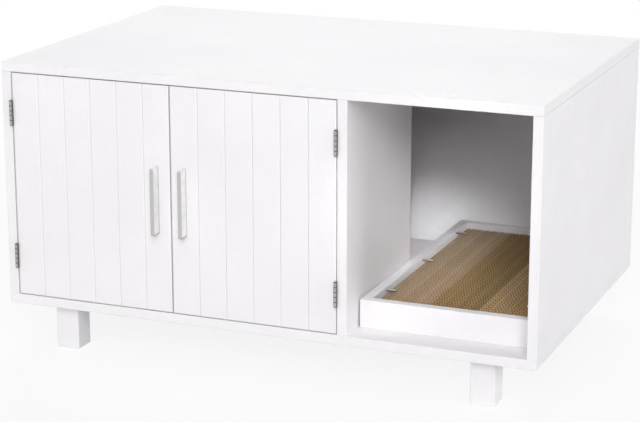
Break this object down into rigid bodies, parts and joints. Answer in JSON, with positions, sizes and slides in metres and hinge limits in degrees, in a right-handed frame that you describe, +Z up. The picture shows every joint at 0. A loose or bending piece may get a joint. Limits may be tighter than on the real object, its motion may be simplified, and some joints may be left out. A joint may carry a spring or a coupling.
{
  "type": "litter box enclosure",
  "caption": "White cabinet on square legs: plank doors hide a litter compartment, and beside them an open bay with a scratching tray is the way in for the cat.",
  "frame": {"origin": "on the floor, under the middle of the box around the cabinet and its handles", "axes": "+X to the cabinet's right along its front, +Y to its back, +Z up"},
  "size_m": [0.85, 0.568, 0.454],
  "materials": {
    "white_paint": "satin white paint on fibreboard",
    "satin_nickel": "satin nickel plate",
    "zinc_plate": "bright zinc plate",
    "beech": "bare fluted beech",
    "brass": "turned brass",
    "corrugated_board": "bare corrugated cardboard on edge",
    "white_plastic": "moulded satin plastic",
    "ferrite": "dull black pressed ferrite"
  },
  "bodies": {
    "cabinet": {"top_panel": "white_paint", "bottom_panel": "white_paint", "left_side_panel": "white_paint", "right_side_panel": "white_paint", "divider_panel": "white_paint", "back_panel": "white_paint", "front_left_leg": "white_paint", "front_right_leg": "white_paint", "back_left_leg": "white_paint", "back_right_leg": "white_paint", "left_upper_hinge_frame_leaf": "satin_nickel", "left_upper_hinge_pin": "satin_nickel", "left_lower_hinge_frame_leaf": "satin_nickel", "left_lower_hinge_pin": "satin_nickel", "right_upper_hinge_frame_leaf": "satin_nickel", "right_upper_hinge_pin": "satin_nickel", "right_lower_hinge_frame_leaf": "satin_nickel", "right_lower_hinge_pin": "satin_nickel", "leg_bolts": "zinc_plate", "cam_locks": "zinc_plate", "cam_bolts": "zinc_plate", "frame_leaf_screws": "zinc_plate", "catch_screws": "zinc_plate", "panel_dowels": "beech", "leg_inserts": "brass", "catch_housing": "white_plastic", "catch_magnets": "ferrite"},
    "left_door_body": {"left_door": "white_paint", "left_upper_hinge_door_leaf": "satin_nickel", "left_lower_hinge_door_leaf": "satin_nickel", "left_leaf_screws": "zinc_plate", "left_handle": "satin_nickel", "left_handle_screws": "zinc_plate", "left_strike_plate": "zinc_plate", "left_strike_screw": "zinc_plate"},
    "right_door_body": {"right_door": "white_paint", "right_upper_hinge_door_leaf": "satin_nickel", "right_lower_hinge_door_leaf": "satin_nickel", "right_leaf_screws": "zinc_plate", "right_handle": "satin_nickel", "right_handle_screws": "zinc_plate", "right_strike_plate": "zinc_plate", "right_strike_screw": "zinc_plate"},
    "tray": {"tray_front_rail": "white_paint", "tray_back_rail": "white_paint", "tray_left_rail": "white_paint", "tray_right_rail": "white_paint", "tray_base_panel": "white_paint", "tray_dowels": "beech", "scratch_pad": "corrugated_board", "pad_pins": "satin_nickel"}
  },
  "joints": [
    {"name": "left_door_hinge", "type": "hinge", "parent": "cabinet", "child": "left_door_body", "pos_m": [-0.40915, -0.2693, 0.263], "axis": [0, 0, -1], "range_deg": [0, 180]},
    {"name": "right_door_hinge", "type": "hinge", "parent": "cabinet", "child": "right_door_body", "pos_m": [0.12115, -0.2693, 0.263], "axis": [0, 0, 1], "range_deg": [0, 90]},
    {"name": "tray_slide", "type": "slide", "parent": "cabinet", "child": "tray", "axis": [0, -1, 0], "range_m": [0, 0.27]}
  ]
}
